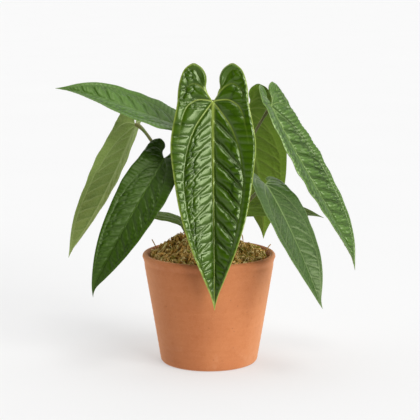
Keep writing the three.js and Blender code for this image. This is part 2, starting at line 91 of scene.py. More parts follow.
LEAVES = [
    dict(
        name="front", midrib=[(4, -45, 279), (4, -57, 215), (5, -76, 140), (5.5, -88, 74)],
        face0=(0, -1, 0.2), face1=(0, -1, 0.25), half_width=43.5, lobes=1, fold=(10, 12, 12, 30), wave=1.2,
        valley=4.2, quilt=2.0, cushions=(1.1, 0.5), pillows=(0.12, 1.85), ridges=(0.68, 1),
        lateral=(0.15, 0.6), hump=(0.45, 0.9), border=0.6, rim=(1.3, 0.7), tone="glossy", rows=300,
        columns=60,
        stalk=Named(azimuth=-90, height=146, handles=[(0, -10, 200), (3, -4, 262)], radius=2.6),
    ),
    dict(
        name="left_high", midrib=[(-24, -13, 248.5), (-60, -22, 259), (-113, -32, 289), (-156, -28, 291)],
        face0=(0, -0.32, 1), face1=(0, -0.65, 1), half_width=30.5, fold=(15, 15, 15, 30), curl=-12, quilt=0.9,
        cushions=1.6, pillows=1.4, tone="satin",
        stalk=Named(azimuth=170, height=146, handles=[(-12, 0, 185), (-18, -4, 228)], radius=2.1),
    ),
    dict(
        name="left_back", midrib=[(-79, 45, 246), (-93, 52, 212), (-119, 46, 152), (-153, 30, 105)],
        face0=(-0.84, 0.54, 0.2), half_width=30.5, fullness=1.35, lobes=0.9, drip=4, fold=(20, 22, 22, 30),
        valley=0.6, quilt=1.1, cushions=1.5, pillows=1.3, tone="olive",
        stalk=Named(azimuth=135, height=138, handles=[(-40, 18, 190), (-64, 36, 245)], radius=1.9),
    ),
    dict(
        name="left_front", midrib=[(-46, -30, 219.5), (-54, -54, 204.5), (-91, -84, 150), (-120, -78, 87)],
        face0=(0.05, -0.5, 0.8), face1=(-0.08, -1, 0.15), half_width=26.5, fullness=1.1, drip=-4, wave=1,
        quilt=1.0, pillows=(1.0, 0.7), lateral=0.5, hump=0.35, border=0.35, tone="deep",
        stalk=Named(azimuth=220, height=138, handles=[(-20, -12, 168), (-42, -22, 206)], radius=2),
    ),
    dict(
        name="back", midrib=[(39, 35, 263), (46, 64, 225), (62, 90, 164), (61, 101, 110.5)],
        face0=(0.15, 0.95, 0.3), half_width=37, fullness=1.1, lobes=1.1, fold=(8, 8, 8, 20), curl=-6,
        valley=0.6, quilt=0.7, cushions=1.5, pillows=1.3, hump=0.5, border=0.5, tone="lime",
        stalk=Named(azimuth=65, height=144, handles=[(8, 18, 190), (22, 20, 246)], radius=2),
    ),
    dict(
        name="right_high", midrib=[(64, -5, 271), (79, -12, 235), (132, -5, 158), (156, 0, 99)],
        face0=(0.87, -0.5, 0.3), half_width=31, fullness=1.45, lobes=0.65, drip=6, curl=-6, wave=1.2,
        valley=1.2, quilt=1.7, cushions=(0.8, 1.9), pillows=(0.6, 1.1), tone="silver", rows=240, columns=44,
        stalk=Named(azimuth=0, height=146, handles=[(18, 2, 190), (44, -2, 240)], radius=1.6),
    ),
    dict(
        name="right_front", midrib=[(57, -39, 194.5), (70, -66, 179), (98, -91, 123), (112, -92, 76)],
        face0=(0.5, -0.35, 0.75), face1=(0.58, -0.8, 0.25), half_width=30, lobes=0.5, drip=-2, curl=-14,
        cushions=1.2, pillows=0.8, tone="grey",
        stalk=Named(azimuth=-40, height=136, handles=[(20, -14, 152), (40, -28, 174)], radius=2),
    ),
    dict(
        LOW_LEAF, name="left_low", midrib=[(-29.5, 2, 148), (-50, 5, 158), (-80, 12, 156), (-103, 15, 146)],
        face0=(0, -0.05, 1), half_width=17,
        stalk=Named(azimuth=180, height=130, handles=[(-17, 0, 128), (-27, 0, 137)], radius=1.7),
    ),
    dict(
        LOW_LEAF, name="right_low", midrib=[(30, 5, 159), (55, 8, 166), (95, 16, 160), (122, 20, 149)],
        face0=(0, -0.3, 1), face1=(0, -0.32, 1), half_width=19,
        stalk=Named(azimuth=25, height=134, handles=[(16, 5, 144), (22, 4, 156)], radius=1.7),
    ),
]

# Veins of one half, drawn on a blade 4.8 half-widths long: [half-widths across, half-widths along]
BLADE_PROPORTION = 4.8
BASAL_VEINS = dict(
    strong=[
        (0, 0), (0.12, 0.15), (0.24, 0.31), (0.4, 0.55), (0.52, 0.82), (0.61, 1.12), (0.67, 1.45),
        (0.71, 1.84),
    ],
    outer=[
        (0, 0), (0.12, -0.03), (0.34, -0.04), (0.5, 0.03), (0.62, 0.14), (0.71, 0.34), (0.77, 0.62),
        (0.84, 1.0),
    ],
    lobe=[
        (0, 0), (0.07, -0.1), (0.18, -0.24), (0.31, -0.36), (0.46, -0.41), (0.6, -0.33), (0.69, -0.18),
        (0.73, 0),
    ],
    sinus=[
        (0, 0), (0.09, -0.16), (0.2, -0.32), (0.28, -0.46), (0.35, -0.62), (0.45, -0.73), (0.58, -0.7),
        (0.68, -0.52),
    ],
)
# How far along the blade the strong vein goes on as the collective vein, in half-widths
COLLECTIVE_START = 1.84
# How far inside the margin the collective vein runs, at its start and at the tip
COLLECTIVE_INSET = (0.21, 0.04)

# Curves

# A distance beyond any that counts, in cells or half-widths
FAR = 9.0


def way_along(points):
    """How far along a polyline each of its points is."""
    return np.concatenate([[0], np.cumsum(np.linalg.norm(np.diff(points, axis=0), axis=1))])


def on_polyline(points, share):
    """The places at shares, 0 to 1, of a polyline's length."""
    reached = way_along(points)
    place = np.clip(share, 0, 1) * reached[-1]
    return np.stack([np.interp(place, reached, points[:, k]) for k in range(points.shape[1])], -1)


def smooth_through(points, per_span=24):
    """A uniform Catmull-Rom curve through the points, as a dense polyline."""
    points = np.asarray(points, float)
    padded = np.concatenate([points[:1], points, points[-1:]])
    t = np.linspace(0, 1, per_span, endpoint=False)[:, None]
    spans = []
    for k in range(len(points) - 1):
        a, b, c, d = padded[k:k + 4]
        v0, v1 = (c - a) / 2, (d - b) / 2
        spans.append((2 * b - 2 * c + v0 + v1) * t ** 3 + (3 * c - 3 * b - 2 * v0 - v1) * t ** 2 + v0 * t + b)
    return np.concatenate(spans + [points[-1:]])


def bezier(points, t):
    a, b, c, d = (np.asarray(p, float) for p in points)
    t = np.asarray(t, float)[..., None]
    return a * (1 - t) ** 3 + 3 * b * t * (1 - t) ** 2 + 3 * c * t ** 2 * (1 - t) + d * t ** 3


def bezier_slope(points, t):
    a, b, c, d = (np.asarray(p, float) for p in points)
    t = np.asarray(t, float)[..., None]
    return 3 * (b - a) * (1 - t) ** 2 + 6 * (c - b) * t * (1 - t) + 3 * (d - c) * t ** 2


def unit(vectors):
    return vectors / np.maximum(np.linalg.norm(vectors, axis=-1, keepdims=True), 1e-12)


def distance_to_line(x, y, line):
    """Distance of each flat place to a polyline, and how far along the line the nearest place is."""
    best = np.full(x.shape, np.inf)
    where = np.zeros(x.shape)
    passed = 0.0
    for (ax, ay), (bx, by) in zip(line[:-1], line[1:]):
        dx, dy = bx - ax, by - ay
        length = math.hypot(dx, dy)
        if length < 1e-9:
            continue
        share = np.clip(((x - ax) * dx + (y - ay) * dy) / length ** 2, 0, 1)
        away = (x - ax - share * dx) ** 2 + (y - ay - share * dy) ** 2
        nearer = away < best
        best[nearer] = away[nearer]
        where[nearer] = passed + share[nearer] * length
        passed += length
    return np.sqrt(best), where


def bell(distance, width, power=2):
    """1 on a line, and next to nothing at twice the width from it."""
    return np.exp(-((distance / width) ** power))


def gate(value, middle, width):
    """0 below the middle and 1 above it, with a soft step between them."""
    return 1 / (1 + np.exp((middle - value) / width))


def lattice_noise(x, y, seed):
    """A random number 0 to 1 for each whole (x, y)."""
    value = np.sin(x * 127.1 + y * 311.7 + seed * 74.7) * 43758.5453
    return value - np.floor(value)


def cells(x, y, seed):
    """Distance to the nearest and second nearest of scattered cell centres, one centre to a unit square."""
    scatter = 0.34
    cx, cy = np.floor(x), np.floor(y)
    first, second = np.full(x.shape, FAR), np.full(x.shape, FAR)
    for dx in (-1, 0, 1):
        for dy in (-1, 0, 1):
            px = cx + dx + 0.5 + scatter * (2 * lattice_noise(cx + dx, cy + dy, seed) - 1)
            py = cy + dy + 0.5 + scatter * (2 * lattice_noise(cx + dx, cy + dy, seed + 5) - 1)
            away = np.hypot(x - px, y - py)
            second = np.minimum(second, np.maximum(first, away))
            first = np.minimum(first, away)
    return first, second


def smooth_noise(x, y, seed):
    """Smooth random height, -1 to 1, with one bump to a unit square."""
    cx, cy = np.floor(x), np.floor(y)
    sx, sy = (part * part * (3 - 2 * part) for part in (x - cx, y - cy))
    a, b, c, d = (lattice_noise(cx + dx, cy + dy, seed) for dy in (0, 1) for dx in (0, 1))
    return 2 * ((a * (1 - sx) + b * sx) * (1 - sy) + (c * (1 - sx) + d * sx) * sy) - 1


# Meshes


def new_piece(name, vertices, faces, material, merge=None, **attributes):
    """Makes a smooth mesh piece from millimetres, with a float attribute for each entry of attributes."""
    mesh = bpy.data.meshes.new(name)
    mesh.from_pydata((np.asarray(vertices) * MM).tolist(), [], faces)
    for key, values in attributes.items():
        mesh.attributes.new(key, "FLOAT", "POINT").data.foreach_set("value", np.asarray(values, np.float32))
    work = bmesh.new()
    work.from_mesh(mesh)
    if merge:
        bmesh.ops.remove_doubles(work, verts=work.verts, dist=merge * MM)
        bmesh.ops.dissolve_degenerate(work, edges=work.edges, dist=1e-8)
        stray = [edge for edge in work.edges if not edge.link_faces]
        bmesh.ops.delete(work, geom=stray, context="EDGES")
    bmesh.ops.recalc_face_normals(work, faces=work.faces)
    if work.calc_volume(signed=True) < 0:
        bmesh.ops.reverse_faces(work, faces=work.faces)
    work.to_mesh(mesh)
    work.free()
    mesh.polygons.foreach_set("use_smooth", np.ones(len(mesh.polygons), bool))
    mesh.materials.append(material)
    piece = bpy.data.objects.new(name, mesh)
    bpy.context.scene.collection.objects.link(piece)
    return piece


def ring_faces(rings, sides, closed):
    """Quads from each ring of vertices to the next, and from the last to the first if closed."""
    faces = []
    for ring in range(rings if closed else rings - 1):
        here, after = ring * sides, (ring + 1) % rings * sides
        for k in range(sides):
            on = (k + 1) % sides
            faces.append((here + k, after + k, after + on, here + on))
    return faces


def lathe(profile, segments):
    """Vertices and faces of a closed profile turned about Z."""
    profile = np.asarray(profile, float)
    angles = 2 * np.pi * np.arange(segments) / segments
    ring = np.stack([np.cos(angles), np.sin(angles)], -1)
    xy = ring[:, None, :] * profile[None, :, :1]
    z = np.broadcast_to(profile[:, 1], (segments, len(profile)))[..., None]
    return np.concatenate([xy, z], -1).reshape(-1, 3), ring_faces(segments, len(profile), closed=True)


def tube_mesh(centres, radii, sides):
    """Vertices and faces of a closed tube round a line of centres."""
    centres = np.asarray(centres, float)
    tangents = unit(np.gradient(centres, axis=0))
    guide = np.array([0.0, 0.0, 1.0])
    if abs(tangents[0] @ guide) > 0.95:
        guide = np.array([0.3, 1.0, 0.0])
    normal = unit(guide - tangents[0] * (guide @ tangents[0]))
    rows = []
    angles = 2 * np.pi * np.arange(sides) / sides
    for centre, tangent, radius in zip(centres, tangents, radii):
        normal = unit(normal - tangent * (normal @ tangent))
        binormal = np.cross(tangent, normal)
        rows.append(centre + radius * (np.cos(angles)[:, None] * normal + np.sin(angles)[:, None] * binormal))
    vertices = np.concatenate(rows + [centres[:1], centres[-1:]])
    faces = ring_faces(len(centres), sides, closed=False)
    end = len(centres) * sides
    for j in range(sides):
        k = (j + 1) % sides
        faces.append((end, k, j))
        faces.append((end + 1, end - sides + j, end - sides + k))
    return vertices, faces


def tubes_piece(name, material, tubes, sides):
    """One piece of many tubes, each given by its centres, its radii and its shade."""
    vertices, faces, shades = [], [], []
    for centres, radii, shade in tubes:
        tube_vertices, tube_faces = tube_mesh(centres, radii, sides)
        base = len(vertices)
        vertices.extend(tube_vertices)
        faces.extend([tuple(base + k for k in face) for face in tube_faces])
        shades.extend([shade] * len(tube_vertices))
    return new_piece(name, vertices, faces, material, shade=shades)


# Materials


class Nodes:
    """A short way to write the nodes of a material or of the world."""

    def __init__(self, owner):
        owner.use_nodes = True
        self.owner = owner
        self.tree = owner.node_tree
        self.coordinates = self.add("ShaderNodeTexCoord").outputs

    def add(self, kind, **settings):
        node = self.tree.nodes.new(kind)
        for key, value in settings.items():
            setattr(node, key, value)
        return node

    def plug(self, value, socket):
        if isinstance(value, bpy.types.NodeSocket):
            self.tree.links.new(value, socket)
        elif value is not None:
            socket.default_value = value

    def fill(self, node, **values):
        for key, value in values.items():
            self.plug(value, node.inputs[key.replace("_", " ")])

    def attribute(self, name):
        return self.add("ShaderNodeAttribute", attribute_name=name).outputs["Fac"]

    def noise(self, scale, detail=4.0, roughness=0.55, stretch=None):
        node = self.add("ShaderNodeTexNoise")
        self.fill(node, Scale=scale, Detail=detail, Roughness=roughness, Vector=self.stretched(stretch))
        return node.outputs["Fac"]

    def cells(self, scale, feature="F1"):
        node = self.add("ShaderNodeTexVoronoi", feature=feature)
        self.fill(node, Scale=scale, Vector=self.coordinates["Object"])
        return node.outputs["Distance"]

    def stretched(self, stretch):
        if stretch is None:
            return self.coordinates["Object"]
        node = self.add("ShaderNodeMapping")
        self.fill(node, Scale=stretch, Vector=self.coordinates["Object"])
        return node.outputs["Vector"]

    def math(self, operation, a, b=None, clamp=False):
        node = self.add("ShaderNodeMath", operation=operation, use_clamp=clamp)
        self.plug(a, node.inputs[0])
        self.plug(b, node.inputs[1])
        return node.outputs[0]

    def times(self, a, b, clamp=False):
        return self.math("MULTIPLY", a, b, clamp)

    def ramp(self, value, low, high, out_low=0.0, out_high=1.0, **settings):
        node = self.add("ShaderNodeMapRange", clamp=True, **settings)
        self.fill(node, Value=value, From_Min=low, From_Max=high, To_Min=out_low, To_Max=out_high)
        return node.outputs["Result"]

    def mix(self, share, a, b):
        node = self.add("ShaderNodeMix", data_type="RGBA", blend_type="MIX")
        self.plug(share, node.inputs[0])
        for value, socket in ((a, node.inputs[6]), (b, node.inputs[7])):
            self.plug((*value, 1.0) if isinstance(value, tuple) else value, socket)
        return node.outputs[2]

    def bump(self, height, distance, strength=1.0, under=None):
        node = self.add("ShaderNodeBump")
        self.fill(node, Strength=strength, Distance=distance * MM, Height=height, Normal=under)
        return node.outputs["Normal"]

    def finish(self, colour, roughness, normal=None, **constants):
        shader = self.tree.nodes["Principled BSDF"]
        self.fill(shader, Base_Color=colour, Roughness=roughness, Normal=normal, **constants)
        return self.owner


def material_nodes(name):
    return Nodes(bpy.data.materials.new(name))


# Looks of a blade where its tone says nothing else. low and high are the upper face's colours between and on
# the raised cells, low being darker as painted shade in the hollows, and contrast says how fast one turns
# into the other. under is the underside's colour, also darkened in the hollows as painted shade, and vein the
# veins'. rough is the upper face's roughness and shine its specular level. net and rim are how strongly the
# finest veins and the margin take the veins' colour.
USUAL_TONE = dict(contrast=1, under=(0.16, 0.24, 0.07), rough_under=0.55)
TONES = dict(
    glossy=dict(
        contrast=1.15, low=(0.007, 0.024, 0.0002), high=(0.038, 0.088, 0.001), under=(0.13, 0.22, 0.04),
        vein=(0.3, 0.38, 0.07), rough=0.23, rough_under=0.5, shine=0.54, net=0.0, rim=0.9,
    ),
    satin=dict(
        low=(0.014, 0.05, 0.002), high=(0.066, 0.145, 0.018), vein=(0.13, 0.22, 0.05), rough=0.36, shine=0.5,
        net=0.1, rim=0.6,
    ),
    olive=dict(
        low=(0.045, 0.11, 0.015), high=(0.08, 0.16, 0.03), under=(0.25, 0.345, 0.09), vein=(0.4, 0.5, 0.19),
        rough=0.4, rough_under=0.6, shine=0.35, net=0.2, rim=0.5,
    ),
    deep=dict(
        low=(0.006, 0.02, 0.0002), high=(0.026, 0.064, 0.0008), under=(0.12, 0.19, 0.05),
        vein=(0.055, 0.11, 0.01), rough=0.38, shine=0.35, net=0.15, rim=0.15,
    ),
    soft=dict(
        low=(0.055, 0.1, 0.005), high=(0.125, 0.2, 0.02), under=(0.24, 0.34, 0.08), vein=(0.22, 0.3, 0.08),
        rough=0.55, shine=0.15, net=0.2, rim=0.5,
    ),
    lime=dict(
        low=(0.04, 0.1, 0.01), high=(0.08, 0.16, 0.02), under=(0.125, 0.22, 0.016), vein=(0.23, 0.33, 0.05),
        rough=0.36, shine=0.3, net=0.2, rim=0.4,
    ),
    silver=dict(
        contrast=1.4, low=(0.006, 0.03, 0.0008), high=(0.068, 0.15, 0.018), vein=(0.18, 0.27, 0.07),
        rough=0.3, shine=0.6, net=0.1, rim=0.7,
    ),
    grey=dict(
        low=(0.007, 0.026, 0.0008), high=(0.032, 0.076, 0.01), vein=(0.19, 0.28, 0.09), rough=0.38,
        shine=0.45, net=0.16, rim=0.6,
    ),
)
GREEN_SHINE = (0.85, 1.0, 0.6, 1.0)


def shaded(colour, times):
    return tuple(times * part for part in colour)


def leaf_material(tone):
    """Greens by side and vein, darkened in the hollows as painted shade, from attributes that are each 0 to
    1.
    """
    look = Named(**dict(USUAL_TONE, **TONES[tone]))
    n = material_nodes("leaf_" + tone)
    hollow, light, under, edge, lines = (
        n.attribute(key) for key in ("hollow", "light", "under", "edge", "lines")
    )
    patches = n.ramp(n.noise(38, 5), 0.35, 0.68)
    # Painted shade: the upper face turns to its darker low colour in the grooves, creases and low parts
    upper = n.mix(n.times(hollow, look.contrast, clamp=True), look.high, look.low)
    upper = n.mix(n.times(patches, 0.35), upper, shaded(look.high, 1.3))
    net = n.ramp(n.cells(330, "DISTANCE_TO_EDGE"), 0.0, 0.16, look.net, 0.0)
    upper = n.mix(net, upper, look.vein)
    upper = n.mix(n.times(lines, 2 * look.net), upper, look.vein)
    # Painted shade: the underside darkens in the same hollows
    below = n.mix(n.times(hollow, 0.6), look.under, shaded(look.under, 0.72))
    fine_net = n.ramp(n.cells(420, "DISTANCE_TO_EDGE"), 0.0, 0.12, 0.35, 0.0)
    below = n.mix(fine_net, below, look.vein)
    below = n.mix(n.times(patches, 0.4), below, shaded(look.under, 1.25))
    below = n.mix(n.times(lines, 0.55), below, look.vein)
    face = n.mix(under, upper, below)
    face = n.mix(light, face, look.vein)
    face = n.mix(n.times(edge, look.rim), face, look.vein)
    wear = n.ramp(n.noise(120, 3), 0.3, 0.7, -0.03, 0.05)
    rough = n.math("ADD", n.ramp(under, 0, 1, look.rough, look.rough_under), wear)
    grain = n.bump(n.noise(1400, 3), 0.04, 0.2)
    grain = n.bump(n.cells(650), 0.08, 0.15, grain)
    return n.finish(face, rough, grain, Specular_IOR_Level=look.shine, Specular_Tint=GREEN_SHINE)


def stalk_material():
    """Green turning brown in streaks, with pale flecks and a browner foot."""
    green, brown, foot = (0.13, 0.185, 0.03), (0.175, 0.15, 0.04), (0.2, 0.17, 0.05)
    streak, fleck = (0.3, 0.32, 0.13), (0.36, 0.33, 0.18)
    n = material_nodes("stalk_skin")
    along = n.noise(90, 4, stretch=(1, 1, 0.16))
    colour = n.mix(n.ramp(along, 0.38, 0.66), green, brown)
    streaks = n.noise(520, 3, stretch=(1, 1, 0.07))
    colour = n.mix(n.ramp(streaks, 0.45, 0.75, 0, 0.5), colour, streak)
    colour = n.mix(n.attribute("foot"), colour, foot)
    colour = n.mix(n.ramp(n.cells(600), 0.0, 0.2, 0.6, 0.0), colour, fleck)
    rough = n.ramp(streaks, 0.3, 0.7, 0.38, 0.55)
    return n.finish(colour, rough, n.bump(streaks, 0.4, 0.6))


def stem_material():
    """Fibrous bark with green bands."""
    dark, pale, green = (0.09, 0.085, 0.03), (0.23, 0.17, 0.08), (0.12, 0.17, 0.05)
    n = material_nodes("stem_bark")
    fibres = n.noise(300, 6, 0.7, stretch=(1, 1, 0.12))
    bands = n.noise(140, 3, stretch=(0.4, 0.4, 1.6))
    colour = n.mix(n.ramp(fibres, 0.35, 0.7), dark, pale)
    colour = n.mix(n.ramp(bands, 0.5, 0.7, 0, 0.6), colour, green)
    return n.finish(colour, n.ramp(fibres, 0.3, 0.7, 0.6, 0.85), n.bump(fibres, 0.8, 0.8))


def papery_material():
    """Brown paper with fine upright fibres."""
    dark, pale = (0.16, 0.085, 0.035), (0.4, 0.27, 0.13)
    n = material_nodes("papery_sheath")
    fibres = n.noise(420, 6, 0.7, stretch=(1, 1, 0.08))
    return n.finish(n.mix(n.ramp(fibres, 0.3, 0.7), dark, pale), 0.75, n.bump(fibres, 0.5, 0.8))


def clay_material():
    """Fired clay: warm orange with cloudy darker and paler areas, fine grog and a few dark specks, darker on
    the inner wall, with painted light that brightens it where it turns away towards the outline.
    """
    dark, warm, throwing = (0.44, 0.14, 0.047), (0.53, 0.19, 0.067), (0.66, 0.27, 0.1)
    blotch, grit, speck = (0.4, 0.125, 0.04), (0.7, 0.34, 0.15), (0.22, 0.07, 0.03)
    salt, inner_wall_dark, painted_edge_light = (0.7, 0.42, 0.26), (0.27, 0.09, 0.04), (0.86, 0.42, 0.2)
    n = material_nodes("terracotta")
    clouds = n.noise(16, 5, 0.55, stretch=(1, 1, 0.6))
    colour = n.mix(n.ramp(clouds, 0.32, 0.7), dark, warm)
    rings = n.noise(60, 4, 0.6, stretch=(0.12, 0.12, 3.2))
    colour = n.mix(n.ramp(rings, 0.42, 0.75, 0, 0.14), colour, throwing)
    mottle = n.noise(190, 5, 0.65)
    colour = n.mix(n.ramp(mottle, 0.5, 0.8, 0, 0.4), colour, blotch)
    grog = n.noise(1500, 2, 0.5)
    colour = n.mix(n.ramp(grog, 0.55, 0.75, 0, 0.3), colour, grit)
    colour = n.mix(n.ramp(n.cells(95), 0.0, 0.11, 0.55, 0.0), colour, speck)
    bloom = n.times(n.ramp(n.noise(34, 6, 0.7), 0.56, 0.74), n.attribute("bloom"))
    colour = n.mix(n.times(bloom, 0.2), colour, salt)
    # Darker on the inner wall
    colour = n.mix(n.times(n.attribute("inside"), 0.6), colour, inner_wall_dark)
    # Painted light: a paler orange where the surface turns away from the view, towards the pot's outline
    facing = n.add("ShaderNodeLayerWeight").outputs["Facing"]
    colour = n.mix(n.ramp(facing, 0.35, 0.95, 0.0, 0.45), colour, painted_edge_light)
    rough = n.ramp(mottle, 0.3, 0.75, 0.62, 0.86)
    normal = n.bump(grog, 0.18, 0.5)
    normal = n.bump(mottle, 0.35, 0.35, normal)
    normal = n.bump(rings, 0.3, 0.2, normal)
    return n.finish(colour, rough, normal, Specular_IOR_Level=0.35)


def moss_material(name, dark, mid, pale):
    """Three colours by the attribute shade, with fine dark flecks."""
    n = material_nodes(name)
    shade = n.attribute("shade")
    fine = n.noise(700, 4, 0.6)
    colour = n.mix(n.ramp(shade, 0.0, 0.5), dark, mid)
    colour = n.mix(n.ramp(shade, 0.5, 1.0), colour, pale)
    colour = n.mix(n.ramp(fine, 0.4, 0.75, 0, 0.45), colour, shaded(mid, 0.45))
    return n.finish(colour, 0.9, n.bump(fine, 0.4, 0.6), Specular_IOR_Level=0.1)


def soil_material():
    """Chips of bark in dark peat."""
    peat, chip, dust = (0.02, 0.013, 0.009), (0.075, 0.042, 0.022), (0.16, 0.1, 0.055)
    n = material_nodes("bark_mix")
    lumps = n.cells(220)
    fine = n.noise(600, 6, 0.7)
    colour = n.mix(n.ramp(lumps, 0.1, 0.7), chip, peat)
    colour = n.mix(n.ramp(fine, 0.5, 0.8, 0, 0.5), colour, dust)
    return n.finish(colour, 0.95, n.bump(fine, 0.5, 0.6, n.bump(lumps, 1.5, 0.8)))


# Blades

# The first lateral vein's start and the space between two, along the midrib, and the two terms of their curve
# towards the tip, all in half-widths of the blade
FIRST_LATERAL = 0.42
LATERAL_SPACING = 0.46
LATERAL_RISE = (0.7, 0.5)
# Rows of cells, in half-widths: the space between two near the base, midway and elsewhere, where midway is,
# how fast they lean forward inside the border vein, and the length of a cell
ROWS = Named(base=0.17, midway=0.13, plain=0.15, midway_at=1.6, lean=0.4, cell=0.24)
# Where the tip starts to bend, as a share of the blade's length
DRIP_START = 0.91
# Widths of the relief's features, also in half-widths
WIDE = Named(
    vein_line=0.015, vein_groove=0.04, vein_clear=0.04, beside_vein=0.16, finest_line=0.016,
    lateral_line=0.012, lateral_groove=0.028, lateral_clear=0.035, finest_lateral=0.014,
    wall=0.11, wall_foot=0.06, border_slope=0.19, border_cells=0.22,
    rib=0.042, rib_side=0.06, rib_clear=0.05, rib_fade=0.04, valley=0.42,
    row_side=0.17, cell_side=0.3, fringe=0.07, narrow=0.35, sinus_strip=0.2, bowl=0.17,
)
# Heights of those features, as shares of the leaf's quilt
HIGH = Named(pillow=1.15, cushion=0.42, bowl=0.9, groove=0.8, rib_side=0.3, rib=0.7)


class Blade:
    """One leaf's blade: its outline, its middle surface and its veins."""

    def __init__(self, leaf):
        self.leaf = leaf
        self.half_width = leaf.half_width
        self.t = np.linspace(0, 1, 401)
        self.reached = way_along(bezier(leaf.midrib, self.t))
        self.length = self.reached[-1]
        self.lobe_length = -MARGIN[0][1] * self.length * leaf.lobes
        self.margin_line = smooth_through([self.scaled(p) for p in MARGIN])
        self.sinus_line = smooth_through([self.scaled(p) for p in SINUS])

    def scaled(self, place):
        across, along = place
        along = along * self.leaf.lobes if along < 0 else along ** (1 / self.leaf.fullness)
        return across * self.half_width, along * self.length

    def grid(self, rows, columns):
        """Flat places of one half's vertices: across and along, in mm, each (rows + 1, columns + 1)."""
        q = np.linspace(0, 1, rows + 1)
        v = np.linspace(0, 1, columns + 1)
        v = v - 0.05 * np.sin(2 * np.pi * v)
        outer = on_polyline(self.margin_line, q)
        inner = np.zeros_like(outer)
        inner[:, 1] = np.maximum(0, outer[:, 1] - ROW_SLANT * outer[:, 0])
        sinus_rows = SINUS_ROWS * self.leaf.lobes
        on_sinus = q < sinus_rows
        inner[on_sinus] = on_polyline(self.sinus_line, q[on_sinus] / sinus_rows)
        width = (outer - inner)[:, :1]
        bow = 0.3 + 0.5 * np.clip(1 - inner[:, 1:] / self.half_width, 0, 1)
        x = inner[:, :1] + width * v
        y = inner[:, 1:] + (outer - inner)[:, 1:] * v - bow * width * v * (1 - v)
        return x, y, on_sinus

    def place(self, side, x, y, rise):
        """Points in space and normals for flat places on one half."""
        leaf = self.leaf
        share = np.clip(y / self.length, 0, 1)
        t = np.interp(share * self.length, self.reached, self.t)
        origin = bezier(leaf.midrib, t)
        forward = unit(bezier_slope(leaf.midrib, t))
        face0, face1 = np.array(leaf.face0, float), np.array(leaf.face1 or leaf.face0, float)
        up = face0 + (face1 - face0) * share[..., None]
        up = unit(up - forward * np.sum(up * forward, -1, keepdims=True))
        across = np.cross(forward, up)
        origin = origin + forward * np.minimum(y, 0)[..., None]
        in_tip = np.clip((share - DRIP_START) / (1 - DRIP_START), 0, 1)
        origin = origin + across * (leaf.drip * in_tip ** 2)[..., None]
        where = np.where(y < 0, y / self.lobe_length, y / self.length)
        fold = np.radians(np.interp(where, [-1, 0, 0.5, 1], leaf.fold))
        curl = math.radians(leaf.curl) / self.half_width
        angle = fold + curl * x
        outwards = ((np.sin(angle) - np.sin(fold)) / curl)[..., None]
        upwards = ((np.cos(fold) - np.cos(angle)) / curl)[..., None]
        normal = up * np.cos(angle)[..., None] - side * across * np.sin(angle)[..., None]
        normal = np.where((x < 1e-6)[..., None], up, normal)
        return origin + side * across * outwards + up * upwards + normal * rise[..., None], normal

    def veins(self):
        """The curved veins of a half, in flat mm: kind, line, depth of the groove, reach of its pale part."""
        w = self.half_width
        stretch = self.length / w / BLADE_PROPORTION
        lobes = self.leaf.lobes

        def drawn(kind):
            return smooth_through([
                (x * w, y * w * (stretch * lobes if y < 0 else stretch)) for x, y in BASAL_VEINS[kind]
            ], 5)

        start = COLLECTIVE_START * w * stretch
        y = np.linspace(start, 0.965 * self.length, 36)
        edge = self.margin_x(y)
        inset = w * np.interp(y, [start, self.length], COLLECTIVE_INSET)
        collective = np.stack([np.maximum(edge - inset, 0.35 * edge), y], -1)
        strong = drawn("strong")
        strong[-1] = collective[0]
        return [
            ("border", np.concatenate([strong, collective[1:]]), self.leaf.border, 0.85),
            ("outer", drawn("outer"), 0.6, 0.7),
            ("lobe", drawn("lobe"), 0.6, 0.5),
            ("sinus", drawn("sinus"), 0.6, 0.25),
        ]

    def margin_x(self, y):
        """The blade's half-width at each place along it, in mm."""
        widest = np.argmax(self.margin_line[:, 0])
        rising = self.margin_line[:widest]
        lower = rising[rising[:, 1] > -0.1 * self.half_width]
        line = np.concatenate([lower, self.margin_line[widest:]])
        order = np.argsort(line[:, 1])
        return np.interp(y, line[order, 1], line[order, 0])

    def curved_veins(self, x, y, share):
        """Their grooves and pale lines, the distances to any and to the border, and what lies inside it."""
        w = self.half_width
        groove, light = np.zeros(x.shape), np.zeros(x.shape)
        to_vein = np.full(x.shape, FAR)
        for kind, line, depth, pale in self.veins():
            away, at = distance_to_line(x, y, line)
            away, at = away / w, at / w
            if kind == "border":
                to_border, border = away, line
            light = np.maximum(light, (0.9 * bell(at, pale) + 0.06) * bell(away, WIDE.vein_line))
            depth = depth * np.where(kind == "border", 1 - 0.6 * share, np.clip(1.6 - at / 0.8, 0, 1))
            groove = np.maximum(groove, depth * bell(away, WIDE.vein_groove))
            to_vein = np.minimum(to_vein, away + 0.3 * (1 - np.minimum(depth / 0.4, 1)))
        order = np.argsort(border[:, 1])
        inner = (x < np.interp(y, border[order, 1], border[order, 0])) & (y > 0)
        return groove, light, to_vein, to_border, inner

    def lateral_veins(self, across, along, warp):
        """Distance to the nearest, and the swelling between two: a steep wall on one side, a gentle slope
        down to the next."""
        count = int((self.length / self.half_width - 0.55) / LATERAL_SPACING)
        start = along - LATERAL_RISE[0] * across - LATERAL_RISE[1] * across * across
        phase = np.clip((start + 0.6 * warp - FIRST_LATERAL) / LATERAL_SPACING, -0.98, count + 0.5)
        step = phase - np.floor(phase)
        slant = np.sqrt(1 + (LATERAL_RISE[0] + 2 * LATERAL_RISE[1] * across) ** 2)
        to_lateral = np.minimum(step, 1 - step) * LATERAL_SPACING / slant
        to_lateral = np.where((phase < -0.5) & (step < 0.5), FAR, to_lateral)
        wall = 1 - bell(step * LATERAL_SPACING, WIDE.wall)
        slope = (1 - 0.6 * step ** 1.4) * (1 - bell((1 - step) * LATERAL_SPACING, WIDE.wall_foot))
        return to_lateral, wall * slope

